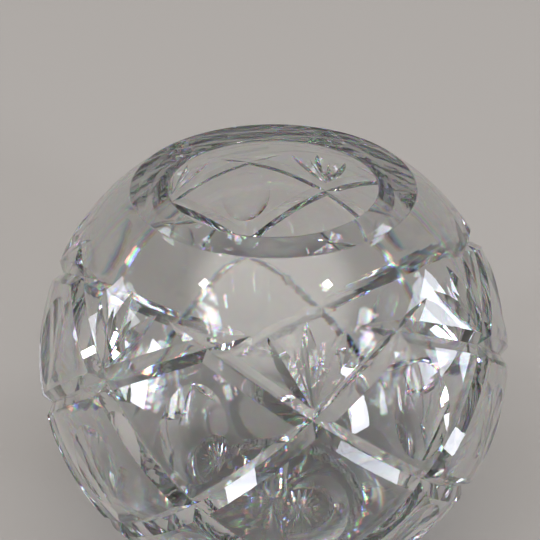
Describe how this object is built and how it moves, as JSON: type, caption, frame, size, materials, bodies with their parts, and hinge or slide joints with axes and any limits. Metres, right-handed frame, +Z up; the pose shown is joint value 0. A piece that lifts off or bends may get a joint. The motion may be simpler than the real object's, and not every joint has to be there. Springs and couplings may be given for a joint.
{
  "type": "cut crystal rose bowl vase",
  "caption": "Round rose bowl vase of thick clear cut glass: a ball open at a flat polished rim, with crossing mitre grooves, leaf fans, hollow ovals and a star under the foot.",
  "frame": {"origin": "centre of the foot ring, on the surface that the bowl stands on", "axes": "+Z up along the bowl's axis, -Y towards the front, where two grooves cross under a leaf fan"},
  "size_m": [0.2, 0.1992, 0.1846],
  "materials": {
    "crystal": "polished"
  },
  "bodies": {
    "root": {"rose_bowl": "crystal"}
  },
  "joints": []
}
